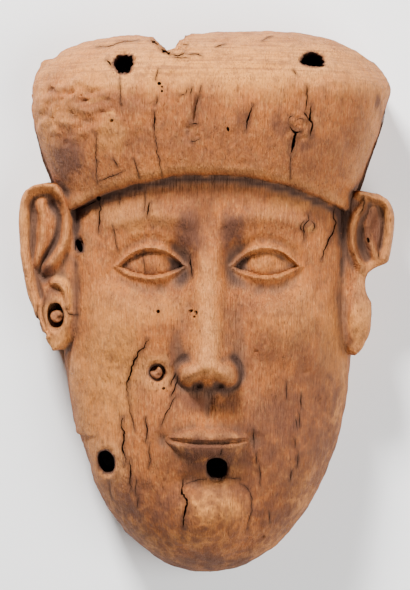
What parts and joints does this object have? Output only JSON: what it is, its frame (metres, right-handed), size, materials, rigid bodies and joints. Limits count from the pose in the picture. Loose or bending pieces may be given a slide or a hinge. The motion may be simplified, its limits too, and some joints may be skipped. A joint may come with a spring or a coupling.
{
  "type": "mummy mask",
  "caption": "Carved wooden mummy mask with a calm face, plain flared cap, forward-facing ears, bored fixing holes and wooden dowels, lying on its flat back.",
  "frame": {"origin": "on the flat back, below the middle of the mask's bounding box", "axes": "+Z straight out of the face, +Y towards the top of the cap, +X to the right of someone who looks at the face"},
  "size_m": [0.1868, 0.2712, 0.0953],
  "materials": {
    "aged_wood": "matt, bare and weathered",
    "dowel_wood": "matt end grain"
  },
  "bodies": {
    "root": {"mask": "aged_wood", "ear_dowel": "dowel_wood", "cheek_dowel": "dowel_wood"}
  },
  "joints": []
}
